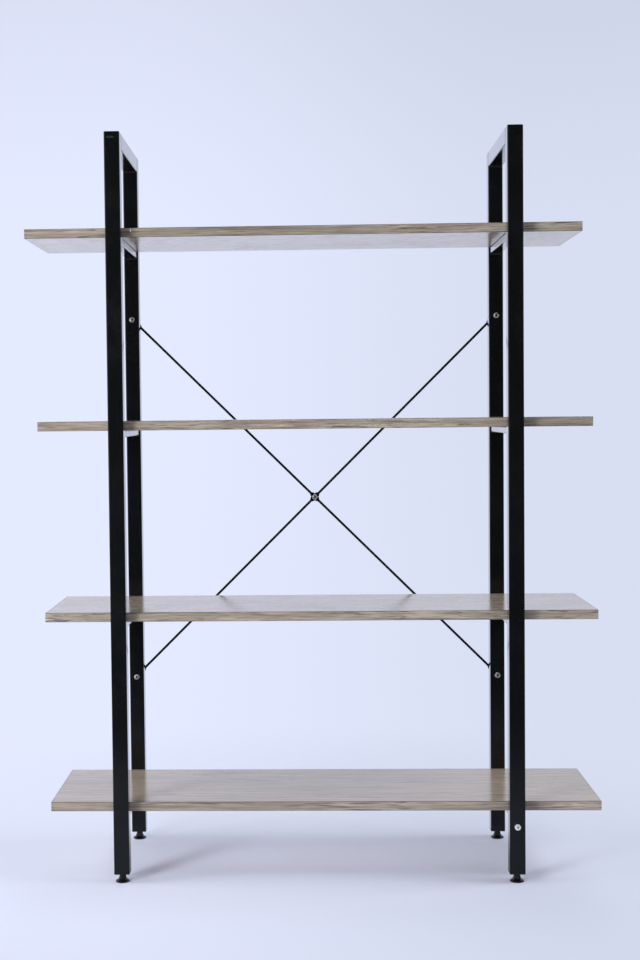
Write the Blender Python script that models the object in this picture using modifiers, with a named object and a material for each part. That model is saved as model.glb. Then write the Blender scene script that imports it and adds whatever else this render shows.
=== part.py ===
"""An open shelving unit of four boards between two end frames.

Each end frame is a ladder of square tube: a front post, a rear post, a top bar and one rung
under every board. The boards pass between the posts and are screwed down to the rungs. Two
rods cross behind the rear posts as a brace. A levelling foot screws into the end of each post.

Metres, +Z up, -Y to the front. The origin is on the floor, in the middle of the whole unit's
box as seen from above.
"""

import math

import bmesh
import bpy
from mathutils import Matrix, Vector

# Clearances
GAP = 0.0003
BOARD_SIDE_PLAY = 0.0005

# End frames
OVERALL_HEIGHT = 1.440
FRAME_DEPTH = 0.330
FRAME_SPACING = 0.760
TUBE_SIDE = 0.030
TUBE_WALL = 0.0015
TUBE_CORNER_RADIUS = 0.002
POST_CAP_THICKNESS = 0.003
RUNG_WIDTH = 0.025
RUNG_HEIGHT = 0.013
RUNG_WALL = 0.0012
RUNG_CORNER_RADIUS = 0.001

# Boards, counted from the floor, each with its shift to the right
BOARD_LENGTH = 1.065
BOARD_THICKNESS = 0.018
BOARD_EDGE_RADIUS = 0.0006
BOTTOM_BOARD_TOP = 0.151
BOARD_PITCH = 0.370
BOARD_SHIFTS = (0.0125, 0.007, -0.0025, -0.022)

# Screws that hold the boards down, two to a rung
SHELF_SCREW_RADIUS = 0.002
SHELF_SCREW_HEAD_RADIUS = 0.004
SHELF_SCREW_HEAD_HEIGHT = 0.0020
SHELF_SCREW_BITE = 0.010
SHELF_SCREW_POINT = 0.003
SHELF_SCREW_SPREAD = 0.160

# Crossed brace behind the rear posts
BRACE_LOW_Z = 0.349
BRACE_HIGH_Z = 1.102
BRACE_ROD_RADIUS = 0.0025
BRACE_FLAT_WIDTH = 0.012
BRACE_FLAT_THICKNESS = 0.0017
BRACE_END_FLAT = 0.014
BRACE_SWAGE_LENGTH = 0.008
BRACE_CENTRE_WIDTH = 0.0105
BRACE_CENTRE_FLAT = 0.007
BRACE_CENTRE_SWAGE = 0.005
BRACE_BOLT_LENGTH = 0.040
CENTRE_BOLT_LENGTH = 0.012

# Pan-head bolts and their nuts
BOLT_RADIUS = 0.003
BOLT_HEAD_RADIUS = 0.006
BOLT_HEAD_HEIGHT = 0.0040
NUT_ACROSS_FLATS = 0.010
NUT_HEIGHT = 0.005
RECESS_REACH = 0.0030
RECESS_WIDTH = 0.0013
RECESS_DEPTH = 0.0022

# Single bolt low on the front right post, in a rivet nut
POST_BOLT_Z = 0.109
POST_BOLT_LENGTH = 0.012
RIVET_FLANGE_RADIUS = 0.0052
RIVET_FLANGE_THICKNESS = 0.0008
RIVET_BODY_RADIUS = 0.0044
RIVET_BULGE_RADIUS = 0.0060
RIVET_BULGE_LENGTH = 0.003
RIVET_TAIL_LENGTH = 0.006

# Levelling feet
FOOT_HEIGHT = 0.017
FOOT_DISC_RADIUS = 0.0135
FOOT_DISC_THICKNESS = 0.0030
FOOT_NECK_TOP_RADIUS = 0.0052
FOOT_NECK_BASE_RADIUS = 0.0092
FOOT_NECK_BASE_Z = 0.0050
FOOT_WAIST_RADIUS = 0.0067
FOOT_WAIST_Z = 0.0103
FOOT_FLUTES = 8
FOOT_FLUTE_DEPTH = 0.0011
FOOT_STEM_RADIUS = 0.003
FOOT_STEM_SEAT_Z = 0.006
FOOT_STEM_LENGTH = 0.033
PLUG_FLANGE_THICKNESS = 0.0025
PLUG_SLEEVE_HEIGHT = 0.018

# Facets of round pieces
ROD_SIDES = 12
HOLE_SIDES = 16
BOLT_SIDES = 16
SCREW_SIDES = 12
FOOT_SIDES = 24

PAINT = ("black_gloss_paint", (0.012, 0.013, 0.015), 0.22, 0.0)
BOARD_FINISH = ("oak_laminate", (0.37, 0.32, 0.27), 0.38, 0.0)
ZINC = ("zinc_plated_steel", (0.72, 0.72, 0.74), 0.28, 1.0)
BLACK_PLASTIC = ("black_plastic", (0.014, 0.014, 0.016), 0.45, 0.0)

# Places that follow from the sizes above
POST_X = {"left": -FRAME_SPACING / 2, "right": FRAME_SPACING / 2}
POST_Y = {"front": TUBE_SIDE / 2, "rear": FRAME_DEPTH - TUBE_SIDE / 2}
POST_BOTTOM = FOOT_HEIGHT + PLUG_FLANGE_THICKNESS + GAP
BETWEEN_POSTS = FRAME_DEPTH - 2 * TUBE_SIDE
BOARD_DEPTH = BETWEEN_POSTS - 2 * BOARD_SIDE_PLAY
BOARD_TOPS = [BOTTOM_BOARD_TOP + k * BOARD_PITCH for k in range(len(BOARD_SHIFTS))]
BRACE_HEIGHTS = {"lower": BRACE_LOW_Z, "upper": BRACE_HIGH_Z}
BRACE_AXIS_Y = FRAME_DEPTH + GAP + BRACE_ROD_RADIUS
RIVET_SEAT_Y = -GAP - RIVET_FLANGE_THICKNESS
POST_BOLT_SEAT_Y = RIVET_SEAT_Y - GAP
BRACE_BOLT_SEAT_Y = FRAME_DEPTH - TUBE_SIDE - GAP
CENTRE_BOLT_SEAT_Y = BRACE_AXIS_Y - GAP / 2 - BRACE_FLAT_THICKNESS - GAP
LEFT_REACH = min(min(BOARD_SHIFTS) - BOARD_LENGTH / 2, POST_X["left"] - TUBE_SIDE / 2)
RIGHT_REACH = max(max(BOARD_SHIFTS) + BOARD_LENGTH / 2, POST_X["right"] + TUBE_SIDE / 2)
FRONT_REACH = POST_BOLT_SEAT_Y - BOLT_HEAD_HEIGHT
REAR_REACH = max(BRACE_BOLT_SEAT_Y + BRACE_BOLT_LENGTH, CENTRE_BOLT_SEAT_Y + CENTRE_BOLT_LENGTH)
MIDDLE = Vector(((LEFT_REACH + RIGHT_REACH) / 2, (FRONT_REACH + REAR_REACH) / 2, 0.0))


def clear_scene():
    for obj in list(bpy.data.objects):
        bpy.data.objects.remove(obj, do_unlink=True)


def new_collection(name):
    collection = bpy.data.collections.new(name)
    bpy.context.scene.collection.children.link(collection)
    return collection


def material_of(finish):
    name, colour, roughness, metallic = finish
    material = bpy.data.materials.get(name)
    if material is None:
        material = bpy.data.materials.new(name)
        material.use_nodes = True
        material.diffuse_color = (*colour, 1.0)
        shader = material.node_tree.nodes["Principled BSDF"]
        shader.inputs["Base Color"].default_value = (*colour, 1.0)
        shader.inputs["Roughness"].default_value = roughness
        shader.inputs["Metallic"].default_value = metallic
    return material


def smooth(mesh):
    mesh.shade_smooth()
    mesh.set_sharp_from_angle(angle=math.radians(35))


def mesh_from(bm, name):
    bmesh.ops.recalc_face_normals(bm, faces=bm.faces)
    mesh = bpy.data.meshes.new(name)
    bm.to_mesh(mesh)
    bm.free()
    return mesh


def piece(name, mesh, place, finish, turn=(0.0, 0.0, 0.0)):
    """Adds one named sub-part; place is measured from the middle plane and the front faces."""
    obj = bpy.data.objects.new(name, mesh)
    obj.location = Vector(place) - MIDDLE
    obj.rotation_euler = turn
    material = material_of(finish)
    if material.name not in mesh.materials:
        mesh.materials.append(material)
    PARTS.objects.link(obj)
    return obj


def cutter(name, mesh, place, turn=(0.0, 0.0, 0.0)):
    obj = bpy.data.objects.new(name, mesh)
    obj.location = Vector(place) - MIDDLE
    obj.rotation_euler = turn
    obj.hide_render = True
    obj.display_type = "WIRE"
    CUTTERS.objects.link(obj)
    return obj


def cut(obj, tool):
    modifier = obj.modifiers.new("cut_" + tool.name, "BOOLEAN")
    modifier.operation = "DIFFERENCE"
    modifier.solver = "EXACT"
    modifier.object = tool


def baked(obj):
    """The evaluated mesh of a helper object, which is then removed."""
    bpy.context.view_layer.update()
    graph = bpy.context.evaluated_depsgraph_get()
    mesh = bpy.data.meshes.new_from_object(obj.evaluated_get(graph))
    bpy.data.objects.remove(obj, do_unlink=True)
    return mesh


def block_mesh(name, size, radius=0.0, rounded=None):
    """A box round its own middle. rounded picks the edges to round, by their two ends."""
    bm = bmesh.new()
    bmesh.ops.create_cube(bm, size=1.0)
    bmesh.ops.scale(bm, vec=size, verts=bm.verts)
    if radius > 0.0:
        edges = [e for e in bm.edges if rounded is None or rounded(*e.verts)]
        bmesh.ops.bevel(bm, geom=edges, offset=radius, segments=2, profile=0.5, affect="EDGES")
    return mesh_from(bm, name)


def cylinder_mesh(name, radius, length, sides):
    """A cylinder along Z round its own middle."""
    bm = bmesh.new()
    bmesh.ops.create_cone(bm, cap_ends=True, segments=sides, radius1=radius, radius2=radius, depth=length)
    return mesh_from(bm, name)


def turned_object(name, profile, sides):
    """A turned solid about Z. The profile is (radius, height) pairs down its outer side."""
    mesh = bpy.data.meshes.new(name)
    points = [(radius, 0.0, height) for radius, height in profile]
    mesh.from_pydata(points, [(i, i + 1) for i in range(len(points) - 1)], [])
    obj = bpy.data.objects.new(name, mesh)
    PARTS.objects.link(obj)
    screw = obj.modifiers.new("turn", "SCREW")
    screw.axis = "Z"
    screw.steps = sides
    screw.render_steps = sides
    screw.use_merge_vertices = True
    screw.merge_threshold = 0.00001
    return obj


def along(axis):
    """Picks the edges of a box that run along one axis."""
    return lambda a, b: abs(a.co[axis] - b.co[axis]) > 1e-6


def above_the_foot(a, b):
    """Picks a post's upright edges and the edges round its top."""
    return max(a.co.z, b.co.z) > 0.0


def side_tube(name, place, width, height, wall, radius):
    """A rectangular tube between the front and the rear post, open at both ends."""
    length = BETWEEN_POSTS - 2 * GAP
    size = (width, length, height)
    obj = piece(name, block_mesh(name, size, radius, along(1)), place, PAINT)
    bore_size = (width - 2 * wall, length + 2 * wall, height - 2 * wall)
    cut(obj, cutter(name + "_bore", block_mesh(name + "_bore", bore_size), place))
    return obj


def make_post(side, end):
    name = f"post_{end}_{side}"
    x, y = POST_X[side], POST_Y[end]
    length = OVERALL_HEIGHT - POST_BOTTOM
    mesh = block_mesh(name, (TUBE_SIDE, TUBE_SIDE, length), TUBE_CORNER_RADIUS, above_the_foot)
    obj = piece(name, mesh, (x, y, POST_BOTTOM + length / 2), PAINT)
    inside = TUBE_SIDE - 2 * TUBE_WALL
    bore_top = OVERALL_HEIGHT - POST_CAP_THICKNESS
    bore_bottom = POST_BOTTOM - TUBE_WALL
    bore = block_mesh(name + "_bore", (inside, inside, bore_top - bore_bottom))
    cut(obj, cutter(name + "_bore", bore, (x, y, (bore_top + bore_bottom) / 2)))
    return obj


def make_end_frame(side):
    """Posts, top bar and rungs of one ladder. They are welded, so they meet face to face."""
    x = POST_X[side]
    middle_y = FRAME_DEPTH / 2
    posts = {end: make_post(side, end) for end in POST_Y}
    top_place = (x, middle_y, OVERALL_HEIGHT - TUBE_SIDE / 2)
    side_tube(f"top_bar_{side}", top_place, TUBE_SIDE, TUBE_SIDE, TUBE_WALL, TUBE_CORNER_RADIUS)
    rungs = []
    for number, board_top in enumerate(BOARD_TOPS, start=1):
        rung_z = board_top - BOARD_THICKNESS - GAP - RUNG_HEIGHT / 2
        place = (x, middle_y, rung_z)
        name = f"rung_{side}_{number}"
        rungs.append(side_tube(name, place, RUNG_WIDTH, RUNG_HEIGHT, RUNG_WALL, RUNG_CORNER_RADIUS))
    return posts, rungs


def make_boards():
    boards = []
    for number, (board_top, shift) in enumerate(zip(BOARD_TOPS, BOARD_SHIFTS), start=1):
        name = f"shelf_board_{number}"
        mesh = block_mesh(name, (BOARD_LENGTH, BOARD_DEPTH, BOARD_THICKNESS), BOARD_EDGE_RADIUS)
        place = (shift, FRAME_DEPTH / 2, board_top - BOARD_THICKNESS / 2)
        boards.append(piece(name, mesh, place, BOARD_FINISH))
    return boards


def pan_head_profile(head_radius, head_height, shank_radius):
    """Down the outer side of a pan head that stands on z = 0, as far as the top of its shank."""
    return [
        (0.0, head_height),
        (head_radius * 0.55, head_height),
        (head_radius * 0.86, head_height * 0.74),
        (head_radius, head_height * 0.30),
        (head_radius, 0.0),
        (shank_radius, 0.0),
    ]


def cross_recess_mesh(name):
    """A plus-shaped cutter: a square post with an arm drawn out of each side."""
    bm = bmesh.new()
    bmesh.ops.create_cube(bm, size=1.0)
    bmesh.ops.scale(bm, vec=(RECESS_WIDTH, RECESS_WIDTH, 2 * RECESS_DEPTH), verts=bm.verts)
    for side in [f for f in bm.faces if abs(f.normal.z) < 0.5]:
        outward = side.normal.copy()
        arm = bmesh.ops.extrude_discrete_faces(bm, faces=[side])["faces"][0]
        bmesh.ops.translate(bm, vec=outward * (RECESS_REACH - RECESS_WIDTH / 2), verts=arm.verts)
    return mesh_from(bm, name)


def bolt_mesh(name, shank_length):
    """A pan-head bolt: the head above z = 0 with a cross recess, the shank below."""
    chamfer = BOLT_RADIUS * 0.2
    end = [
        (BOLT_RADIUS, chamfer - shank_length),
        (BOLT_RADIUS - chamfer, -shank_length),
        (0.0, -shank_length),
    ]
    profile = pan_head_profile(BOLT_HEAD_RADIUS, BOLT_HEAD_HEIGHT, BOLT_RADIUS) + end
    bolt = turned_object(name, profile, BOLT_SIDES)
    recess = bpy.data.objects.new(name + "_recess", cross_recess_mesh(name + "_recess"))
    recess.location = (0.0, 0.0, BOLT_HEAD_HEIGHT)
    CUTTERS.objects.link(recess)
    cut(bolt, recess)
    mesh = baked(bolt)
    bpy.data.objects.remove(recess, do_unlink=True)
    smooth(mesh)
    return mesh


def shelf_screw_mesh(length):
    """A countersunk wood screw, its flat head level with z = 0 and its pointed shank below."""
    profile = [
        (0.0, 0.0),
        (SHELF_SCREW_HEAD_RADIUS, 0.0),
        (SHELF_SCREW_RADIUS, -SHELF_SCREW_HEAD_HEIGHT),
        (SHELF_SCREW_RADIUS, SHELF_SCREW_POINT - length),
        (0.0, -length),
    ]
    mesh = baked(turned_object("shelf_screw", profile, SCREW_SIDES))
    smooth(mesh)
    return mesh


def screw_hole_mesh(length):
    """The clearance hole of a shelf screw, countersunk for its head."""
    head, shank = SHELF_SCREW_HEAD_RADIUS + GAP, SHELF_SCREW_RADIUS + GAP
    profile = [
        (0.0, TUBE_WALL),
        (head, TUBE_WALL),
        (head, 0.0),
        (shank, -SHELF_SCREW_HEAD_HEIGHT),
        (shank, -length - GAP),
        (0.0, -length - GAP),
    ]
    return baked(turned_object("screw_hole", profile, SCREW_SIDES))


def nut_mesh(name):
    """A hexagon nut above z = 0, bored with clearance for its bolt."""
    corner_radius = NUT_ACROSS_FLATS / math.sqrt(3)
    blank = cylinder_mesh(name, corner_radius, NUT_HEIGHT, 6)
    blank.transform(Matrix.Translation((0.0, 0.0, NUT_HEIGHT / 2)))
    nut = bpy.data.objects.new(name, blank)
    PARTS.objects.link(nut)
    bore_mesh = cylinder_mesh(name + "_bore", BOLT_RADIUS + GAP, NUT_HEIGHT * 3, HOLE_SIDES)
    bore = bpy.data.objects.new(name + "_bore", bore_mesh)
    CUTTERS.objects.link(bore)
    cut(nut, bore)
    mesh = baked(nut)
    bpy.data.objects.remove(bore, do_unlink=True)
    return mesh


def bolt_hole(name, place, length):
    """A cutter along Y for a bolt with its clearance."""
    mesh = cylinder_mesh(name, BOLT_RADIUS + GAP, length, HOLE_SIDES)
    return cutter(name, mesh, place, (math.pi / 2, 0.0, 0.0))


def rod_stations(half_length, centre_front):
    """Places along one rod with the width and the front face of its section there.

    A width of None is the round rod. It is pressed flat at both ends and at the crossing.
    """
    end_front = -BRACE_ROD_RADIUS
    half_width = BRACE_FLAT_WIDTH / 2
    tip = half_length + half_width
    half = [
        (tip, BRACE_FLAT_WIDTH * 0.40, end_front),
        (tip - half_width * 0.35, BRACE_FLAT_WIDTH * 0.84, end_front),
        (tip - half_width, BRACE_FLAT_WIDTH, end_front),
        (half_length - BRACE_END_FLAT, BRACE_FLAT_WIDTH, end_front),
        (half_length - BRACE_END_FLAT - BRACE_SWAGE_LENGTH, None, None),
        (BRACE_CENTRE_FLAT + BRACE_CENTRE_SWAGE, None, None),
        (BRACE_CENTRE_FLAT, BRACE_CENTRE_WIDTH, centre_front),
    ]
    return half + [(-place, width, front) for place, width, front in reversed(half)]


def join_level_faces(bm, half_length):
    """Joins the strips of each pressed face into one face."""
    strips = {}
    for face in bm.faces:
        depths = {round(v.co.y, 6) for v in face.verts}
        if len(depths) == 1:
            zone = round(face.calc_center_median().x / half_length)
            strips.setdefault((zone, depths.pop()), []).append(face)
    for faces in strips.values():
        bmesh.ops.dissolve_faces(bm, faces=faces, use_verts=False)


def rod_mesh(name, half_length, centre_front):
    """A rod along X: a cylinder cut into lengths, with the rings in its flats pressed to strips."""
    stations = rod_stations(half_length, centre_front)
    bm = bmesh.new()
    tip = stations[0][0]
    bmesh.ops.create_cone(
        bm,
        cap_ends=True,
        segments=ROD_SIDES,
        radius1=BRACE_ROD_RADIUS,
        radius2=BRACE_ROD_RADIUS,
        depth=2 * tip,
        matrix=Matrix.Rotation(math.pi / 2, 4, "Y") @ Matrix.Rotation(math.pi / ROD_SIDES, 4, "Z"),
    )
    for place, _, _ in stations[1:-1]:
        everything = bm.verts[:] + bm.edges[:] + bm.faces[:]
        bmesh.ops.bisect_plane(bm, geom=everything, plane_co=(place, 0, 0), plane_no=(1, 0, 0))
    widest = BRACE_ROD_RADIUS * math.cos(math.pi / ROD_SIDES)
    for place, width, front in stations:
        if width is None:
            continue
        for vert in [v for v in bm.verts if abs(v.co.x - place) < 1e-5]:
            is_front = vert.co.y < 0.0
            vert.co.z *= width / 2 / widest
            vert.co.y = front if is_front else front + BRACE_FLAT_THICKNESS
    join_level_faces(bm, half_length)
    return mesh_from(bm, name)


def make_brace():
    """Two equal rods, one turned over, held by four bolts at the posts and one at the crossing."""
    rise = BRACE_HIGH_Z - BRACE_LOW_Z
    half_length = math.hypot(FRAME_SPACING, rise) / 2
    slope = math.atan2(rise, FRAME_SPACING)
    middle_z = (BRACE_HIGH_Z + BRACE_LOW_Z) / 2
    centre = (0.0, BRACE_AXIS_Y, middle_z)
    crossing_hole = bolt_hole("crossing_hole", centre, TUBE_SIDE)
    holes = {}
    for level, z in BRACE_HEIGHTS.items():
        for side, x in POST_X.items():
            place = (x, FRAME_DEPTH - TUBE_SIDE / 2, z)
            holes[level, side] = bolt_hole(f"brace_hole_{level}_{side}", place, TUBE_SIDE * 2)
    flats = {"rising": -GAP / 2 - BRACE_FLAT_THICKNESS, "falling": GAP / 2}
    corners = {"rising": ("lower", "upper"), "falling": ("upper", "lower")}
    turns = {"rising": -slope, "falling": slope}
    for name, centre_front in flats.items():
        mesh = rod_mesh(f"brace_rod_{name}", half_length, centre_front)
        rod = piece(f"brace_rod_{name}", mesh, centre, PAINT, (0.0, turns[name], 0.0))
        cut(rod, crossing_hole)
        for side, level in zip(POST_X, corners[name]):
            cut(rod, holes[level, side])
    return holes


def make_bolts(posts, holes):
    """The brace bolts go in from the front of the rear posts, and their nuts sit behind the rods."""
    to_front = (math.pi / 2, 0.0, 0.0)
    to_back = (-math.pi / 2, 0.0, 0.0)
    nut = nut_mesh("brace_nut")
    nut_y = FRAME_DEPTH + GAP + BRACE_FLAT_THICKNESS + GAP
    bolt = bolt_mesh("brace_bolt", BRACE_BOLT_LENGTH)
    for (level, side), hole in holes.items():
        x, z = POST_X[side], BRACE_HEIGHTS[level]
        piece(f"brace_bolt_{level}_{side}", bolt, (x, BRACE_BOLT_SEAT_Y, z), ZINC, to_front)
        piece(f"brace_nut_{level}_{side}", nut, (x, nut_y, z), ZINC, to_back)
        cut(posts[side]["rear"], hole)
    middle_z = (BRACE_HIGH_Z + BRACE_LOW_Z) / 2
    short = bolt_mesh("centre_bolt", CENTRE_BOLT_LENGTH)
    piece("brace_centre_bolt", short, (0.0, CENTRE_BOLT_SEAT_Y, middle_z), ZINC, to_front)
    centre_nut_y = BRACE_AXIS_Y + GAP / 2 + BRACE_FLAT_THICKNESS + GAP
    piece("brace_centre_nut", nut, (0.0, centre_nut_y, middle_z), ZINC, to_back)


def make_post_bolt(post):
    """The single bolt on the front right post, in a rivet nut set in the front wall."""
    x = POST_X["right"]
    to_front = (math.pi / 2, 0.0, 0.0)
    bore = BOLT_RADIUS + GAP
    wall = RIVET_FLANGE_THICKNESS + GAP + TUBE_WALL + GAP
    tail = wall + RIVET_BULGE_LENGTH + RIVET_TAIL_LENGTH
    profile = [
        (bore, 0.0),
        (RIVET_FLANGE_RADIUS, 0.0),
        (RIVET_FLANGE_RADIUS, -RIVET_FLANGE_THICKNESS),
        (RIVET_BODY_RADIUS, -RIVET_FLANGE_THICKNESS),
        (RIVET_BODY_RADIUS, -wall),
        (RIVET_BULGE_RADIUS, -wall),
        (RIVET_BODY_RADIUS, -wall - RIVET_BULGE_LENGTH),
        (RIVET_BODY_RADIUS, -tail),
        (bore, -tail),
        (bore, 0.0),
    ]
    rivet = baked(turned_object("post_rivet_nut", profile, BOLT_SIDES))
    smooth(rivet)
    piece("post_rivet_nut", rivet, (x, RIVET_SEAT_Y, POST_BOLT_Z), ZINC, to_front)
    bolt = bolt_mesh("post_bolt", POST_BOLT_LENGTH)
    piece("post_bolt", bolt, (x, POST_BOLT_SEAT_Y, POST_BOLT_Z), ZINC, to_front)
    hole_mesh = cylinder_mesh("rivet_hole", RIVET_BODY_RADIUS + GAP, 4 * TUBE_WALL, HOLE_SIDES)
    cut(post, cutter("rivet_hole", hole_mesh, (x, TUBE_WALL / 2, POST_BOLT_Z), to_front))


def make_shelf_screws(rungs, boards):
    """Two screws up through each rung into its board, their heads sunk level with the rung."""
    grip = RUNG_HEIGHT + GAP
    length = grip + SHELF_SCREW_BITE
    mesh = shelf_screw_mesh(length)
    hole = screw_hole_mesh(length)
    upwards = (math.pi, 0.0, 0.0)
    screw_y = {
        "front": (FRAME_DEPTH - SHELF_SCREW_SPREAD) / 2,
        "rear": (FRAME_DEPTH + SHELF_SCREW_SPREAD) / 2,
    }
    for side, x in POST_X.items():
        for number, board_top in enumerate(BOARD_TOPS, start=1):
            seat_z = board_top - BOARD_THICKNESS - grip
            for end, y in screw_y.items():
                label = f"{number}_{side}_{end}"
                piece("shelf_screw_" + label, mesh, (x, y, seat_z), PAINT, upwards)
                tool = cutter("screw_hole_" + label, hole, (x, y, seat_z), upwards)
                cut(rungs[side][number - 1], tool)
                cut(boards[number - 1], tool)


def foot_base_mesh():
    """Disc and fluted neck about Z, with its sole at z = 0 and a socket for the stem."""
    top = FOOT_HEIGHT - GAP
    disc_top = FOOT_DISC_THICKNESS
    socket = FOOT_STEM_RADIUS + GAP
    socket_floor = FOOT_STEM_SEAT_Z - GAP
    profile = [
        (0.0, socket_floor),
        (socket, socket_floor),
        (socket, top),
        (FOOT_NECK_TOP_RADIUS, top),
        (FOOT_WAIST_RADIUS, FOOT_WAIST_Z),
        (FOOT_NECK_BASE_RADIUS, FOOT_NECK_BASE_Z),
        (FOOT_DISC_RADIUS * 0.93, disc_top),
        (FOOT_DISC_RADIUS, disc_top * 0.55),
        (FOOT_DISC_RADIUS * 0.92, 0.0),
        (0.0, 0.0),
    ]
    mesh = baked(turned_object("foot_base", profile, FOOT_SIDES))
    flute_shares = {top: 0.35, FOOT_WAIST_Z: 1.0, FOOT_NECK_BASE_Z: 0.6}
    for vert in mesh.vertices:
        radius = math.hypot(vert.co.x, vert.co.y)
        if radius < FOOT_NECK_TOP_RADIUS * 0.95:
            continue
        angle = math.atan2(vert.co.y, vert.co.x)
        groove = (1 - math.cos(FOOT_FLUTES * angle)) / 2
        for height, share in flute_shares.items():
            if abs(vert.co.z - height) < 1e-6:
                pulled = 1 - groove * share * FOOT_FLUTE_DEPTH / radius
                vert.co.x *= pulled
                vert.co.y *= pulled
    smooth(mesh)
    return mesh


def make_feet():
    """Base, stem and tube plug under each post. The stem's axis is the post's."""
    base = foot_base_mesh()
    stem = cylinder_mesh("foot_stem", FOOT_STEM_RADIUS, FOOT_STEM_LENGTH, BOLT_SIDES)
    smooth(stem)
    sleeve = TUBE_SIDE - 2 * TUBE_WALL - 2 * GAP
    plug = bmesh.new()
    bmesh.ops.create_cube(plug, size=1.0)
    bmesh.ops.scale(plug, vec=(TUBE_SIDE, TUBE_SIDE, PLUG_FLANGE_THICKNESS), verts=plug.verts)
    upright = [e for e in plug.edges if along(2)(*e.verts)]
    bmesh.ops.bevel(plug, geom=upright, offset=TUBE_CORNER_RADIUS, segments=2, profile=0.5, affect="EDGES")
    lid = max(plug.faces, key=lambda f: f.calc_center_median().z)
    bmesh.ops.inset_region(plug, faces=[lid], thickness=(TUBE_SIDE - sleeve) / 2)
    raised = bmesh.ops.extrude_discrete_faces(plug, faces=[lid])["faces"][0]
    bmesh.ops.translate(plug, vec=(0.0, 0.0, PLUG_SLEEVE_HEIGHT), verts=raised.verts)
    plug_mesh = mesh_from(plug, "foot_plug")
    bore_length = 4 * (PLUG_FLANGE_THICKNESS + PLUG_SLEEVE_HEIGHT)
    bore = cylinder_mesh("plug_bore", FOOT_STEM_RADIUS + GAP, bore_length, HOLE_SIDES)
    for end, y in POST_Y.items():
        for side, x in POST_X.items():
            label = f"{end}_{side}"
            piece("foot_base_" + label, base, (x, y, 0.0), BLACK_PLASTIC)
            stem_z = FOOT_STEM_SEAT_Z + FOOT_STEM_LENGTH / 2
            piece("foot_stem_" + label, stem, (x, y, stem_z), ZINC)
            plug_z = FOOT_HEIGHT + PLUG_FLANGE_THICKNESS / 2
            holder = piece("foot_plug_" + label, plug_mesh, (x, y, plug_z), BLACK_PLASTIC)
            cut(holder, cutter("plug_bore_" + label, bore, (x, y, plug_z)))


clear_scene()
PARTS = new_collection("shelving_unit")
CUTTERS = new_collection("cutters")
frames = {side: make_end_frame(side) for side in POST_X}
all_posts = {side: posts for side, (posts, rungs) in frames.items()}
all_rungs = {side: rungs for side, (posts, rungs) in frames.items()}
all_boards = make_boards()
brace_holes = make_brace()
make_bolts(all_posts, brace_holes)
make_post_bolt(all_posts["right"]["front"])
make_shelf_screws(all_rungs, all_boards)
make_feet()
print(len(PARTS.objects), "pieces, reaching", round(RIGHT_REACH - LEFT_REACH, 4), "by",
      round(REAR_REACH - FRONT_REACH, 4), "by", OVERALL_HEIGHT)
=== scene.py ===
# %% [markdown]
# # An open shelving unit, piece by piece
# The real object is four laminated boards held between two welded ladders of square steel
# tube, with two crossed rods behind and a levelling foot under each post. The measured solids
# are loaded first and never moved. Every step after that models one kind of piece over its
# solid, in metres, and says which body it moves with.

# %% Load the measured solids
import math

import bmesh
import bpy
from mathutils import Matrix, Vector


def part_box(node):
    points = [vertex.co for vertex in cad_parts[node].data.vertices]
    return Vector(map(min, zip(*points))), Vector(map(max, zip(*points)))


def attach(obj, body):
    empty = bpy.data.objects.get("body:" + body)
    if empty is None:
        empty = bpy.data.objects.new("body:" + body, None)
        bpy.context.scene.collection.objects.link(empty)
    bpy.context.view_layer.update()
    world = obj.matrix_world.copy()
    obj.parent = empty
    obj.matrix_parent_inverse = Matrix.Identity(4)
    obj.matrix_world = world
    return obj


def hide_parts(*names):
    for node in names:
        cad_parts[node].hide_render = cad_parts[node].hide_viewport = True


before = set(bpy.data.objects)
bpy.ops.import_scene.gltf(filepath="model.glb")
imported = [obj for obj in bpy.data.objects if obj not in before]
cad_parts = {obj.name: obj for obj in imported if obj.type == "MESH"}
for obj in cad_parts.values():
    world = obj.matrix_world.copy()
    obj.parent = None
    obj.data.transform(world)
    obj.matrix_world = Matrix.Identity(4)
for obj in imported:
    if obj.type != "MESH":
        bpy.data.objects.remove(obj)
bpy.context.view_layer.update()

SIDES = ("left", "right")
ENDS = ("front", "rear")
CORNERS = [(side, end) for side in SIDES for end in ENDS]
BOARDS = (1, 2, 3, 4)
QUARTER_TURN = math.pi / 2
ORIGIN = NO_TURN = (0.0, 0.0, 0.0)
TINY = 1e-5

# %% [markdown]
# ## Working by hand, in code
# In Blender's window a maker clicks on the piece, enters edit mode and clicks on the faces to
# work on. Small helpers do the same here, and pick faces, edges or points by a rule about
# their place. The solids stay selected after they load, so everything else is deselected
# before each step.


# %% Select, edit and pick
def only(*objects):
    """Selects these objects and nothing else, with the last one active."""
    bpy.ops.object.select_all(action="DESELECT")
    for item in objects:
        item.select_set(True)
    bpy.context.view_layer.objects.active = objects[-1]


def away_with(*pieces):
    """Removes pieces that have done their work."""
    only(*pieces)
    bpy.ops.object.delete()


def edit(piece):
    only(piece)
    bpy.ops.object.mode_set(mode="EDIT")


def leave_edit():
    bpy.ops.object.mode_set(mode="OBJECT")


def pick(piece, kind, rule):
    """Selects the "VERT", "EDGE" or "FACE" parts that the rule accepts, and nothing else."""
    bpy.ops.mesh.select_mode(type=kind)
    bpy.ops.mesh.select_all(action="DESELECT")
    mesh = bmesh.from_edit_mesh(piece.data)
    parts = {"VERT": mesh.verts, "EDGE": mesh.edges, "FACE": mesh.faces}[kind]
    chosen = [part for part in parts if rule(part)]
    if not chosen:
        raise ValueError("the rule picked nothing on " + piece.name)
    for part in chosen:
        part.select_set(True)
    mesh.select_flush_mode()
    bmesh.update_edit_mesh(piece.data)


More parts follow.
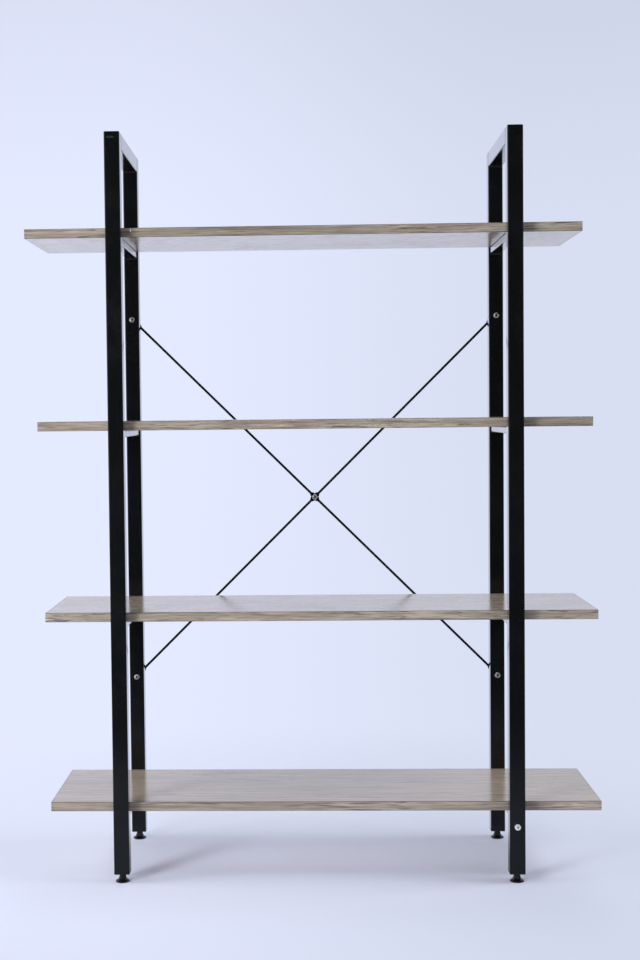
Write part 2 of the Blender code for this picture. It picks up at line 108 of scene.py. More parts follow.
def runs_along(axis):
    """A rule for the edges of a fresh box that run along X (0), Y (1) or Z (2)."""
    return lambda edge: abs(edge.verts[0].co[axis] - edge.verts[1].co[axis]) > TINY


def is_level(edge):
    return not runs_along(2)(edge)


def faces_to(axis, sign):
    """A rule for the faces that look along X (0), Y (1) or Z (2), forwards or backwards."""
    return lambda face: face.normal[axis] * sign > 0.9


print("helpers ready: only, away_with, edit, leave_edit, pick")

# %% [markdown]
# Three moves on what is selected come back on nearly every piece: pulling faces out, drawing
# a ring in towards an upright axis, and rounding edges off.


# %% Pull, narrow and round off
def pull(axis, distance):
    """Extrudes the selected faces along X (0), Y (1) or Z (2)."""
    move = [0.0, 0.0, 0.0]
    move[axis] = distance
    bpy.ops.mesh.extrude_region_move(TRANSFORM_OT_translate={"value": move})


def narrow(share, height, y=0.0):
    bpy.ops.transform.resize(value=(share, share, 1.0), center_override=(0.0, y, height))


def round_off(piece, edges, radius, steps):
    """Bevels the edges that a rule accepts."""
    pick(piece, "EDGE", edges)
    bpy.ops.mesh.bevel(offset=radius, segments=steps, profile=0.5, affect="EDGES")


print("moves ready: pull, narrow, round_off")

# %% [markdown]
# ## Starting shapes and finishing touches
# Nearly every piece starts as a box or a cylinder at its real size and place, which is applied
# to its mesh straight away. The last touch is shading: smooth across the gentle edges, with
# weighted normals, without which glossy paint would show every flat face as if it bulged.


# %% Primitives, modifiers and shading
def settled(name):
    """Names the fresh primitive and puts its place, turn and size into its mesh."""
    piece = bpy.context.object
    piece.name = piece.data.name = name
    bpy.ops.object.transform_apply(location=True, rotation=True, scale=True)
    return piece


def box_between(name, low, high):
    low, high = Vector(low), Vector(high)
    bpy.ops.object.select_all(action="DESELECT")
    bpy.ops.mesh.primitive_cube_add(size=1.0, location=(low + high) / 2, scale=high - low)
    return settled(name)


def cylinder_on(name, radius, foot, length, sides):
    """An upright cylinder that stands on the point foot."""
    bpy.ops.object.select_all(action="DESELECT")
    middle = Vector(foot) + Vector((0.0, 0.0, length / 2))
    bpy.ops.mesh.primitive_cylinder_add(
        vertices=sides, radius=radius, depth=length, location=middle
    )
    return settled(name)


def apply_modifier(piece, kind, **settings):
    only(piece)
    modifier = piece.modifiers.new(kind.lower(), kind)
    for name, value in settings.items():
        setattr(modifier, name, value)
    bpy.ops.object.modifier_apply(modifier=modifier.name)


def cut_with(piece, tool, operation="DIFFERENCE"):
    """Cuts a piece with a second one, which is then removed."""
    apply_modifier(piece, "BOOLEAN", operation=operation, solver="EXACT", object=tool)
    away_with(tool)


def shade(piece, degrees=40.0):
    only(piece)
    bpy.ops.object.shade_smooth_by_angle(angle=math.radians(degrees))
    apply_modifier(piece, "WEIGHTED_NORMAL", keep_sharp=True)


def placed(piece, place, turn=NO_TURN):
    """Turns a finished piece, moves it to its place, and applies both."""
    piece.rotation_euler = turn
    piece.location = place
    only(piece)
    bpy.ops.object.transform_apply(location=True, rotation=True, scale=True)
    return piece


print("starting shapes ready")

# %% [markdown]
# ## Handing pieces over
# A finished piece gets its finish, the body it moves with, and the solid it stands for. What
# repeats is modelled once as a pattern at the origin. Each of its copies has its own mesh and
# stands in the place of one solid.


def middle_of(node):
    low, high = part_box(node)
    return (low + high) / 2


def seat_of(node, axis, rise=0.0):
    """The middle of a solid, moved back along an axis to its low side, or a little less."""
    place = middle_of(node)
    place[axis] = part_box(node)[0][axis] + rise
    return place


def hand_over(piece, finish, node=None, body="frame"):
    piece.data.materials.clear()
    piece.data.materials.append(finish)
    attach(piece, body)
    if node:
        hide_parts(node)
    return piece


def set_copy(pattern, node, ending, finish, place, turn=NO_TURN, body="frame"):
    """Puts a copy of a pattern in a solid's place."""
    only(pattern)
    bpy.ops.object.duplicate(linked=False)
    twin = bpy.context.object
    twin.name = twin.data.name = node + ending
    hand_over(placed(twin, place, turn), finish, node, body)


print("ready to copy and hand over")

# %% [markdown]
# ## Building materials from nodes
# A material is a small machine: textures make numbers, the numbers pick colours, and the
# shader turns them into a surface. These helpers place one node each, beside the nodes that
# feed it, and return the socket that the next node needs.


# %% Adding and feeding nodes
def is_socket(value):
    return isinstance(value, bpy.types.NodeSocket)


def tree_of(*values):
    """The node tree that the first socket among the values is part of."""
    return next(value.id_data for value in values if is_socket(value))


def feed(value, socket):
    """Links a socket, or sets a plain number or colour."""
    if is_socket(value):
        tree_of(socket).links.new(value, socket)
    else:
        socket.default_value = value


def feed_all(node, **values):
    """Feeds a node's inputs by their names, with _ for a space."""
    for label, value in values.items():
        feed(value, node.inputs[label.replace("_", " ")])


def add_node(tree, kind, *in_order, **by_name):
    node = tree.nodes.new("ShaderNode" + kind)
    for value, socket in zip(in_order, node.inputs):
        feed(value, socket)
    feed_all(node, **by_name)
    return node


def new_material(name):
    material = bpy.data.materials.new(name)
    material.use_nodes = True
    return material, material.node_tree, material.node_tree.nodes["Principled BSDF"]


def new_group(name, inputs, outputs):
    """A shader node group that takes a vector and other inputs, and gives numbers."""
    group = bpy.data.node_groups.new(name, "ShaderNodeTree")
    sockets = [("Vector", "INPUT", "NodeSocketVector")]
    sockets += [(label, "INPUT", "NodeSocketFloat") for label in inputs]
    sockets += [(label, "OUTPUT", "NodeSocketFloat") for label in outputs]
    for label, way, kind in sockets:
        group.interface.new_socket(name=label, in_out=way, socket_type=kind)
    entry = group.nodes.new("NodeGroupInput")
    result = group.nodes.new("NodeGroupOutput")
    return group, entry.outputs, result.inputs


def use_group(group, **values):
    node = add_node(tree_of(*values.values()), "Group")
    node.node_tree = group
    feed_all(node, **values)
    return node.outputs


print("materials can be built")


# %% Places, textures and numbers
def place_of(tree):
    """The point on the piece, in metres."""
    return add_node(tree, "TexCoord").outputs["Object"]


def stretched(vector, scale, turn=NO_TURN, move=ORIGIN):
    node = add_node(tree_of(vector), "Mapping", vector, move, turn, scale)
    return node.outputs["Vector"]


def noise(vector, scale, detail=2.0, roughness=0.5, distortion=0.0):
    node = add_node(tree_of(vector), "TexNoise", vector, Scale=scale, Detail=detail)
    feed_all(node, Roughness=roughness, Distortion=distortion)
    return node.outputs["Fac"]


def streaky_noise(vector, along, across, *settings):
    """Noise drawn out along X: so many changes in a metre along it, and so many across."""
    return noise(stretched(vector, (along, across, across)), 1.0, *settings)


def spread(value, *limits):
    """Stretches the part of a value between two limits over 0 to 1, or over two more."""
    node = add_node(tree_of(value), "MapRange", value, *limits)
    node.interpolation_type = "SMOOTHSTEP"
    return node.outputs["Result"]


def maths(operation, *values, kind="Math"):
    node = add_node(tree_of(*values), kind, *values)
    node.operation = operation
    return node.outputs["Value"]


def times(a, b):
    return maths("MULTIPLY", a, b)


def length_of(vector):
    return maths("LENGTH", vector, kind="VectorMath")


print("number helpers ready")


# %% Colours, bumps and marks
def colour_ramp(value, stops):
    """Turns a value into a colour by stops of (position, colour)."""
    node = add_node(tree_of(value), "ValToRGB", value)
    elements = node.color_ramp.elements
    while len(elements) < len(stops):
        elements.new(0.5)
    for element, (position, colour) in zip(elements, stops):
        element.position = position
        element.color = (*colour, 1.0)
    return node.outputs["Color"]


def mixed(share, first, second, blend="MIX"):
    node = add_node(tree_of(share, first, second), "Mix", share)
    node.data_type = "RGBA"
    node.blend_type = blend
    for value, socket in ((first, node.inputs[6]), (second, node.inputs[7])):
        feed((*value, 1.0) if isinstance(value, tuple) else value, socket)
    return node.outputs[2]


def bump(height, strength, distance):
    node = add_node(tree_of(height), "Bump", strength, distance, Height=height)
    return node.outputs["Normal"]


def spot(tree, centre, size):
    """A soft mark: 1 inside an ellipsoid round a point of the object, 0 outside."""
    scale = tuple(1 / reach for reach in size)
    move = tuple(-place * factor for place, factor in zip(centre, scale))
    away = length_of(stretched(place_of(tree), scale, move=move))
    return spread(away, 0.6, 1.0, 1.0, 0.0)


print("colour helpers ready")

# %% [markdown]
# ## Two effects that several finishes share
# A faint film of dust and handling marks changes how sharp reflections are, far more than it
# changes the colour, so the first group gives a soft mask for it. The second is the fine skin
# of a sprayed or moulded surface: tiny swells that make a reflection tremble. Each is a node
# group, so that laminate, paint and plastic can use it with their own scale.

# %% Shared groups: handling marks and fine skin
DUST_FINENESS = 22.0
DUST_SHARE = 0.5

HANDLING, entry, result = new_group("handling_marks", ["Scale"], ["Mask"])
clouds = noise(entry["Vector"], entry["Scale"], 5.0, 0.62, 0.6)
specks = noise(entry["Vector"], times(entry["Scale"], DUST_FINENESS), 2.0)
film = spread(clouds, 0.42, 0.72)
dust = times(spread(specks, 0.60, 0.78), DUST_SHARE)
feed(maths("MAXIMUM", film, dust), result["Mask"])

SKIN, entry, result = new_group("fine_skin", ["Scale"], ["Height"])
feed(noise(entry["Vector"], entry["Scale"], 2.0, 0.4), result["Height"])


def marks_on(tree, scale):
    return use_group(HANDLING, Vector=place_of(tree), Scale=scale)["Mask"]


def skin_on(tree, scale, strength, distance):
    height = use_group(SKIN, Vector=place_of(tree), Scale=scale)["Height"]
    return bump(height, strength, distance)


print("groups:", HANDLING.name, SKIN.name)

# %% [markdown]
# ## Wood grain as a group
# The boards are chipboard under a printed oak paper. Its grain runs one way, so every texture
# in the group is a noise drawn out along X. They are layered from broad to fine: the slow
# change of tone between growth bands, the bands themselves, darker wavy streaks and thin dark
# hairs that only turn up here and there, and the fibres with their pores.

# %% The oak grain group
BROAD_SHARE = 0.42

GRAIN, entry, result = new_group("oak_grain", [], ["Tone", "Streak", "Fibre"])
place = entry["Vector"]
broad = streaky_noise(place, 1.6, 22.0, 3.0, 0.5, 0.5)
bands = streaky_noise(place, 5.0, 170.0, 4.0, 0.55, 0.9)
bands = times(bands, 1.0 - BROAD_SHARE)
tone = maths("ADD", times(broad, BROAD_SHARE), bands)
feed(tone, result["Tone"])

wavy = spread(streaky_noise(place, 9.0, 210.0, 3.0, 0.5, 1.6), 0.54, 0.68)
patches = spread(streaky_noise(place, 6.0, 34.0, 2.0), 0.40, 0.54)
hair = spread(streaky_noise(place, 15.0, 430.0, 2.0, 0.5, 1.4), 0.58, 0.66)
hair = times(hair, spread(broad, 0.40, 0.56))
feed(maths("MAXIMUM", times(wavy, patches), hair), result["Streak"])

feed(streaky_noise(place, 18.0, 600.0, 3.0, 0.6), result["Fibre"])
print("group:", GRAIN.name)

# %% [markdown]
# ## Oak laminate
# The same printed pattern covers the faces of a board and the band along its edges. On the
# two ends the band is a strip from the same roll, so its grain runs from front to back. The
# faces are smooth. Seen from low down they mirror the bright backdrop, which is why they look
# pale in the photograph and their grain looks faint. Their colour is also painted paler than
# the bands', a lit copy of the same print. The bands are more matt. The top board has a small
# white nick in its front edge, beside the left post.

# %% Oak laminate and its edge bands
OAK_TONES = [
    (0.34, (0.205, 0.166, 0.137)),
    (0.46, (0.310, 0.258, 0.218)),
    (0.56, (0.390, 0.332, 0.286)),
    (0.68, (0.490, 0.426, 0.372)),
]
OAK_MIDDLE = (0.350, 0.295, 0.252)
PINK_TINT = (1.0, 0.965, 0.95)
GREEN_TINT = (0.955, 1.0, 0.93)
FIBRE_DARK, FIBRE_LIGHT = 0.30, 0.26
STREAK_COLOUR = (0.095, 0.074, 0.058)
STREAK_STRENGTH = 0.9
STREAK_DULLNESS = 0.06
PORE_DEPTH = 0.0002
NICK_PLACE = (-0.3451, -0.138, 1.2565)
NICK_SIZE = (0.0018, 0.010, 0.0044)
NICK_COLOUR = (0.93, 0.91, 0.88)


def oak_laminate(name, offset=ORIGIN, turn=0.0, fineness=1.0, painted_paleness=1.0,
                 contrast=1.0, coat=0.0, rough=(0.30, 0.40), pores=0.12):
    material, tree, shader = new_material(name)
    point = stretched(place_of(tree), (1.0, fineness, fineness), (0.0, 0.0, turn), offset)
    grain = use_group(GRAIN, Vector=point)
    tones = []
    for stop, tone in OAK_TONES:
        calm = [middle + (part - middle) * contrast for part, middle in zip(tone, OAK_MIDDLE)]
        tones.append((stop, tuple(part * painted_paleness for part in calm)))
    colour = colour_ramp(grain["Tone"], tones)
    drift = streaky_noise(point, 4.0, 70.0, 2.0)
    tint = colour_ramp(drift, [(0.38, PINK_TINT), (0.62, GREEN_TINT)])
    colour = mixed(1.0, colour, tint, "MULTIPLY")
    darkest, lightest = 1.0 - FIBRE_DARK * contrast, 1.0 + FIBRE_LIGHT * contrast
    fibre_shade = spread(grain["Fibre"], 0.25, 0.75, darkest, lightest)
    colour = mixed(1.0, colour, fibre_shade, "MULTIPLY")
    streak_share = times(grain["Streak"], STREAK_STRENGTH * contrast)
    colour = mixed(streak_share, colour, STREAK_COLOUR)
    colour = mixed(spot(tree, NICK_PLACE, NICK_SIZE), colour, NICK_COLOUR)
    dull = spread(marks_on(tree, 9.0), 0.0, 1.0, *rough)
    dull = maths("ADD", dull, times(grain["Streak"], STREAK_DULLNESS))
    pressed = maths("SUBTRACT", grain["Fibre"], grain["Streak"])
    normal = bump(pressed, pores, PORE_DEPTH)
    feed_all(shader, Base_Color=colour, Roughness=dull, Normal=normal)
    feed_all(shader, Coat_Weight=coat, Coat_Roughness=0.18)
    return material


# Painted light: the faces' colour is painted 1.33 times paler than the bands' print.
OAK_FACE = oak_laminate("oak_laminate", fineness=0.8, painted_paleness=1.33, contrast=0.5, coat=0.46,
                        rough=(0.19, 0.24), pores=0.01)
OAK_BAND = oak_laminate("oak_edge_band", (0.37, 0.11, 0.30))
OAK_END_BAND = oak_laminate("oak_end_band", (0.0, 0.23, 0.0), QUARTER_TURN)
print("finishes:", OAK_FACE.name, OAK_BAND.name, OAK_END_BAND.name)

# %% [markdown]
# The band is a strip of brown plastic 1 mm thick. Its printed face is scraped round at the
# top and bottom, and there the plain brown shows as a hairline with a quiet mottle.

# %% Plain brown of the band's rounded borders
DARK_BROWN = (0.060, 0.048, 0.040)
LIGHT_BROWN = (0.110, 0.090, 0.076)

BAND_BODY, tree, shader = new_material("edge_band_body")
mottle = streaky_noise(place_of(tree), 60.0, 300.0, 3.0)
brown = colour_ramp(mottle, [(0.3, DARK_BROWN), (0.7, LIGHT_BROWN)])
dull = spread(mottle, 0.2, 0.8, 0.36, 0.48)
feed_all(shader, Base_Color=brown, Roughness=dull)
print("finish:", BAND_BODY.name)

# %% [markdown]
# ## Black gloss paint
# The tubes are powder coated, with a hard gloss that is never quite level. The colour is
# almost nothing, so the look comes from what it mirrors. A clear coat makes the sides shine
# almost like a mirror where they are seen at a low angle. The rods and the board screws are
# duller, without that coat, and a faint painted highlight, a paler patch, sits at the top of
# the front left post.

# %% Paint
CLEAN_BLACK = (0.0036, 0.0042, 0.0047)
HANDLED_BLACK = (0.0060, 0.0067, 0.0073)
# Painted highlight near the top of the front left post: its place, size and colour.
HIGHLIGHT_PLACE = (-0.3776, -0.1686, 1.4288)
HIGHLIGHT_SIZE = (0.0095, 0.010, 0.0028)
HIGHLIGHT_COLOUR = (0.036, 0.042, 0.048)


def black_paint(name, smoothest, dullest, specular, coat):
    material, tree, shader = new_material(name)
    marks = marks_on(tree, 11.0)
    colour = mixed(marks, CLEAN_BLACK, HANDLED_BLACK)
    # Painted highlight: a faint, mottled paler patch near the top of the front left post.
    highlight_mottle = spread(noise(place_of(tree), 700.0, 2.0), 0.40, 0.60, 0.25, 0.9)
    painted_highlight = times(spot(tree, HIGHLIGHT_PLACE, HIGHLIGHT_SIZE), highlight_mottle)
    colour = mixed(painted_highlight, colour, HIGHLIGHT_COLOUR)
    dull = spread(marks, 0.0, 1.0, smoothest, dullest)
    peel = skin_on(tree, 420.0, 0.02, 0.0001)
    feed_all(shader, Base_Color=colour, Roughness=dull, Normal=peel)
    feed_all(shader, Specular_IOR_Level=specular, Coat_Weight=coat)
    feed_all(shader, Coat_Roughness=0.09, Coat_IOR=1.3)
    return material


PAINT = black_paint("black_gloss_paint", 0.14, 0.22, 0.26, 1.0)
DULL_BLACK = black_paint("dull_black", 0.45, 0.60, 0.10, 0.0)
print("finishes:", PAINT.name, DULL_BLACK.name)

# %% [markdown]
# ## Zinc and black plastic
# The bolts and nuts have bright zinc plate: a metal whose colour drifts a little between blue
# and straw, with fine scratches. The cross recesses are dark marks in the photograph, so a
# soft dark spot of painted shade lies in each bright head. The bolt on the front post looks
# almost white, so it gets a paler, less metallic copy of the plate: painted light. The feet and
# plugs are moulded black plastic, glossy too, with a fine spark texture.

# %% Zinc plate
ZINC_TONES = [
    (0.30, (0.78, 0.80, 0.84)), (0.52, (0.89, 0.89, 0.89)), (0.75, (0.91, 0.89, 0.84))
]
CORNER_BOLTS = [f"brace_bolt_{level}_{side}" for side in SIDES for level in ("lower", "upper")]
# Painted shade in the cross recesses: its depth behind the head, its size and its colour.
RECESS_SHADE_DEPTH = 0.0017
RECESS_SHADE_SIZE = (0.0042, 0.0014, 0.0042)
RECESS_SHADE_COLOUR = (0.020, 0.020, 0.022)


def zinc_plate(name, metal, painted_paleness):
    material, tree, shader = new_material(name)
    drift = noise(place_of(tree), 160.0, 3.0, 0.55, 0.4)
    tones = [(stop, tuple(part * painted_paleness for part in tone)) for stop, tone in ZINC_TONES]
    colour = colour_ramp(drift, tones)
    # Painted shade: a soft dark spot in the cross recess of each bolt head.
    for node in CORNER_BOLTS + ["brace_centre_bolt", "post_bolt"]:
        recess_shade = spot(tree, seat_of(node, 1, RECESS_SHADE_DEPTH), RECESS_SHADE_SIZE)
        colour = mixed(recess_shade, colour, RECESS_SHADE_COLOUR)
    scratches = noise(stretched(place_of(tree), (400.0, 400.0, 3200.0)), 1.0, 2.0)
    dull = spread(scratches, 0.3, 0.7, 0.36, 0.52)
    grooves = bump(scratches, 0.10, 0.00003)
    feed_all(shader, Base_Color=colour, Metallic=metal, Roughness=dull, Normal=grooves)
    return material


ZINC = zinc_plate("zinc_plate", 1.0, 0.90)
# Painted light: the front post's bolt gets a paler, half-metallic copy of the same zinc.
LIT_ZINC = zinc_plate("lit_zinc_plate", 0.5, 1.0)
print("finishes:", ZINC.name, LIT_ZINC.name)

# %% Moulded plastic
PLASTIC_BLACK = (0.0042, 0.0048, 0.0058)
DUSTY_BLACK = (0.0100, 0.0105, 0.0120)

PLASTIC, tree, shader = new_material("black_moulded_plastic")
marks = marks_on(tree, 60.0)
colour = mixed(marks, PLASTIC_BLACK, DUSTY_BLACK)
dull = spread(marks, 0.0, 1.0, 0.15, 0.26)
spark = skin_on(tree, 2600.0, 0.10, 0.00004)
feed_all(shader, Base_Color=colour, Roughness=dull, Normal=spark)
print("finish:", PLASTIC.name)

# %% [markdown]
# ## The posts
# Each post is a length of 30 mm square steel tube with its top closed by a welded plate and
# ground smooth. A bevel rounds the corners and the top of a box, and its lower face is inset
# and extruded up the inside, which leaves the 1.5 mm wall that the plug of the foot slides
# into. The holes for bolts stay unseen behind the bolt heads, so the tube is left whole there.

# %% Posts
TUBE_WALL = 0.0015
TUBE_CORNER = 0.0022
SOCKET_DEPTH = 0.030
ROUND_STEPS = 4


def make_post(node):
    low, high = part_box(node)
    post = box_between(node + "_tube", low, high)
    in_upper_half = lambda e: min(v.co.z for v in e.verts) > middle_of(node).z
    edit(post)
    round_off(post, lambda e: runs_along(2)(e) or in_upper_half(e), TUBE_CORNER, ROUND_STEPS)
    pick(post, "FACE", faces_to(2, -1))
    bpy.ops.mesh.inset(thickness=TUBE_WALL)
    pull(2, SOCKET_DEPTH)
    leave_edit()
    shade(post)
    return hand_over(post, PAINT, node)


for side, end in CORNERS:
    post = make_post(f"post_{end}_{side}")
    print(post.name, len(post.data.polygons), "faces")

# %% [markdown]
# ## Top bars and rungs
# A top bar of the same tube joins the two posts of a ladder, and four flatter tubes carry the
# boards. They end against the posts, so only their long corners are rounded. The solids stop
# 0.3 mm short of the posts; the real tubes are welded, so these reach across that gap. Each
# rung has two countersunk holes underneath for the board screws, cut by a cylinder with a
# shrunken top.

# %% Top bars and rungs
WELD_GAP = 0.0003
RUNG_CORNER = 0.0025
SCREW_SPREAD = 0.160
SCREW_HEAD_RADIUS = 0.004
SCREW_HEAD_HEIGHT = 0.0020
SCREW_RADIUS = 0.002
SINK_PLAY = 0.00015
SINK_START = 0.0005
HOLE_SIDES = 32


def make_cross_tube(name, node, corner):
    low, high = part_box(node)
    half = (high - low) / 2 + Vector((0.0, WELD_GAP, 0.0))
    tube = box_between(name, -half, half)
    edit(tube)
    round_off(tube, runs_along(1), corner, ROUND_STEPS)
    leave_edit()
    return tube


def sink_hole(tube, y, low_z):
    """Takes the cone of a screw head out of the lower face of a tube."""
    widest = SCREW_HEAD_RADIUS + SINK_PLAY + SINK_START
    depth = SINK_START + SCREW_HEAD_HEIGHT
    cone = cylinder_on("sink_cone", widest, (0.0, y, low_z - SINK_START), depth, HOLE_SIDES)
    edit(cone)
    pick(cone, "FACE", faces_to(2, 1))
    narrow((SCREW_RADIUS + SINK_PLAY) / widest, low_z, y)
    leave_edit()
    cut_with(tube, cone)


top_bar = make_cross_tube("top_bar", "top_bar_left", TUBE_CORNER)
rung = make_cross_tube("rung", "rung_left_1", RUNG_CORNER)
low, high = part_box("rung_left_1")
for sign in (-1, 1):
    sink_hole(rung, sign * SCREW_SPREAD / 2, -(high.z - low.z) / 2)
shade(top_bar)
shade(rung)
for side in SIDES:
    rungs = [(rung, f"rung_{side}_{number}") for number in BOARDS]
    for pattern, node in [(top_bar, f"top_bar_{side}")] + rungs:
        set_copy(pattern, node, "_tube", PAINT, middle_of(node))
    print(side, "ladder has a top bar and", len(BOARDS), "rungs")
away_with(top_bar, rung)

# %% [markdown]
# ## Weld beads
# Where a rung meets a post there is a small fillet of weld under it and at its sides, but not
# above it, where the board lies. A thin box against the post is tapered towards the rung, cut
# into short lengths, and its points are moved a little at random, with a fixed seed, so that
# the bead looks laid by hand. The top bar has a fillet only underneath: the outer faces are
# ground flush, which leaves a faint raised line round the joint.

# %% Weld beads and ground seams
BEAD_LEG = 0.0022
BEAD_CUTS = 6
BEAD_LUMPS = 0.00022
BURIED = 0.0004
SEAM_HALF_WIDTH = 0.0005
SEAM_RISE = 0.00012


def make_bead(name, node, end, side_leg, seed):
    low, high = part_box(node)
    outward = 1.0 if end == "front" else -1.0
    wall = low.y - WELD_GAP if end == "front" else high.y + WELD_GAP
    reach = wall + outward * BEAD_LEG
    middle = middle_of(node)
    top = high.z - BURIED if side_leg > 0.0 else middle.z
    low_corner = (low.x - side_leg, min(wall, reach), low.z - BEAD_LEG)
    bead = box_between(name, low_corner, (high.x + side_leg, max(wall, reach), top))
    edit(bead)
    pick(bead, "FACE", faces_to(1, outward))
    width, tall = high.x - low.x, top - low.z
    shrink_x = (width - 2 * BURIED) / (width + 2 * side_leg) if side_leg > 0.0 else 1.0
    shrink = (shrink_x, 1.0, (tall - BURIED) / (tall + BEAD_LEG))
    bpy.ops.transform.resize(value=shrink, center_override=(middle.x, reach, top))
    bpy.ops.mesh.select_all(action="SELECT")
    bpy.ops.mesh.subdivide(number_cuts=BEAD_CUTS)
    slack = BEAD_LEG * 0.1
    pick(bead, "VERT", lambda v: slack < (v.co.y - wall) * outward < BEAD_LEG - slack)
    bpy.ops.transform.vertex_random(offset=BEAD_LUMPS, uniform=0.0, normal=1.0, seed=seed)
    leave_edit()
    shade(bead, 60.0)
    hand_over(bead, PAINT)


def make_seam(name, node, end):
    low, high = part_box(node)
    joint = low.y if end == "front" else high.y
    proud = Vector((SEAM_RISE, SEAM_HALF_WIDTH, SEAM_RISE))
    top = Vector((high.x, joint, high.z - BURIED))
    seam = box_between(name, Vector((low.x, joint, low.z)) - proud, top + proud)
    edit(seam)
    round_off(seam, runs_along(1), TUBE_CORNER, ROUND_STEPS)
    leave_edit()
    shade(seam)
    hand_over(seam, PAINT)


seed = 1
for side, end in CORNERS:
    bar = f"top_bar_{side}"
    make_bead(f"weld_top_{side}_{end}", bar, end, -TUBE_CORNER, seed)
    make_seam(f"seam_top_{side}_{end}", bar, end)
    seed += 1
    for number in BOARDS:
        node = f"rung_{side}_{number}"
        make_bead(f"weld_{node}_{end}", node, end, BEAD_LEG, seed)
        seed += 1
print(seed - 1, "weld beads")

# %% [markdown]
# ## The boards
# A board is a core with four edge bands glued round it. Bands that are strips of their own
# give the hairline where band and face meet and the scraped, rounded border. The long ones
# cover the ends of the short ones. Only the outer face of a strip is printed, so its rounded
# parts take the plain brown as a second finish.

# %% Boards and edge bands
BAND_THICKNESS = 0.0010
BAND_ROUND = 0.0008
BAND_STEPS = 3
GLUE_LINE = 0.00015
STRIPS = (
    ("front", 1, -1, OAK_BAND),
    ("rear", 1, 1, OAK_BAND),
    ("left", 0, -1, OAK_END_BAND),
    ("right", 0, 1, OAK_END_BAND),
)


def make_band(name, low, high, axis, sign, printed):
    """One strip. Axis and sign say which way its printed face looks."""
    band = box_between(name, low, high)
    outer = low[axis] if sign < 0 else high[axis]
    is_long = runs_along(1 - axis)
    is_outer = lambda e: all(abs(v.co[axis] - outer) < TINY for v in e.verts)
    edit(band)
    round_off(band, lambda e: is_long(e) and is_outer(e), BAND_ROUND, BAND_STEPS)
    leave_edit()
    shade(band)
    hand_over(band, printed)
    band.data.materials.append(BAND_BODY)
    for face in band.data.polygons:
        face.material_index = 0 if abs(face.normal[axis]) > 0.99 else 1


def make_board(number):
    node = f"shelf_board_{number}"
    low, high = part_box(node)
    inset = Vector((BAND_THICKNESS + GLUE_LINE, BAND_THICKNESS + GLUE_LINE, 0.0))
    core = box_between(f"board_{number}_core", low + inset, high - inset)
    hand_over(core, OAK_FACE, node)
    for place, axis, sign, printed in STRIPS:
        strip_low, strip_high = low.copy(), high.copy()
        if axis == 0:
            strip_low.y += BAND_THICKNESS
            strip_high.y -= BAND_THICKNESS
        if sign < 0:
            strip_high[axis] = low[axis] + BAND_THICKNESS
        else:
            strip_low[axis] = high[axis] - BAND_THICKNESS
        name = f"board_{number}_band_{place}"
        make_band(name, strip_low, strip_high, axis, sign, printed)
    return core


for number in BOARDS:
    core = make_board(number)
    print(core.name, "is", round(core.dimensions.x * 1000), "mm long inside its bands")

# %% [markdown]
# ## The crossed rods
# Each rod is 5 mm round bar, pressed flat at both ends and where the two cross, so that a
# bolt can pass through. The cylinder is cut into lengths, each cut ring is widened, and then
# its front half and its back half are squeezed onto two planes. Rings part of the way along
# take part of the squeeze, which gives the tapered neck that a press leaves.

# %% One pressed rod
ROD_RADIUS = 0.0025
ROD_SIDES = 24
FLAT_WIDTH = 0.012
FLAT_THICKNESS = 0.0017
END_FLAT = 0.014
NECK_LENGTH = 0.008
CENTRE_WIDTH = 0.0105
CENTRE_FLAT = 0.007
CENTRE_NECK = 0.005
NECK_STEPS = (0.15, 0.5, 0.85)
TIP_STEPS = (0.12, 0.35, 0.65, 0.87, 1.0)
CROSSING_GAP = 0.0003


def pressed_at(step):
    """How far the neck is pressed, from 1 beside the flat to 0 where the round bar starts."""
    return 1 - (3 - 2 * step) * step**2


def rod_rings(half_length, centre_front):
    """Rings along one half of a rod: (place, share pressed, width when flat, front plane)."""
    radius = FLAT_WIDTH / 2
    flat_end = half_length - END_FLAT
    rings = []
    for step in TIP_STEPS:
        width = 2 * radius * math.sqrt(1 - (1 - step) ** 2)
        rings.append((half_length + radius * (1 - step), 1.0, width, -ROD_RADIUS))
    rings.append((flat_end, 1.0, FLAT_WIDTH, -ROD_RADIUS))
    for step in NECK_STEPS:
        place = flat_end - NECK_LENGTH * step
        rings.append((place, pressed_at(step), FLAT_WIDTH, -ROD_RADIUS))
    rings.append((flat_end - NECK_LENGTH, 0.0, None, None))
    rings.append((CENTRE_FLAT + CENTRE_NECK, 0.0, None, None))
    for step in reversed(NECK_STEPS):
        place = CENTRE_FLAT + CENTRE_NECK * step
        rings.append((place, pressed_at(step), CENTRE_WIDTH, centre_front))
    rings.append((CENTRE_FLAT, 1.0, CENTRE_WIDTH, centre_front))
    return rings


def press_ring(rod, place, pressed, width, front):
    """Widens one ring and squeezes its front and back halves towards two planes."""
    on_ring = lambda v: abs(v.co.x - place) < TINY
    pick(rod, "VERT", on_ring)
    widen = 1 + pressed * (width / (2 * ROD_RADIUS) - 1)
    bpy.ops.transform.resize(value=(1.0, 1.0, widen), center_override=(place, 0.0, 0.0))
    thin = (1.0, 1.0 - pressed, 1.0)
    for sign, plane in ((-1, front), (1, front + FLAT_THICKNESS)):
        pick(rod, "VERT", lambda v: on_ring(v) and v.co.y * sign > 0.0)
        bpy.ops.transform.resize(value=thin, center_override=(place, plane, 0.0))


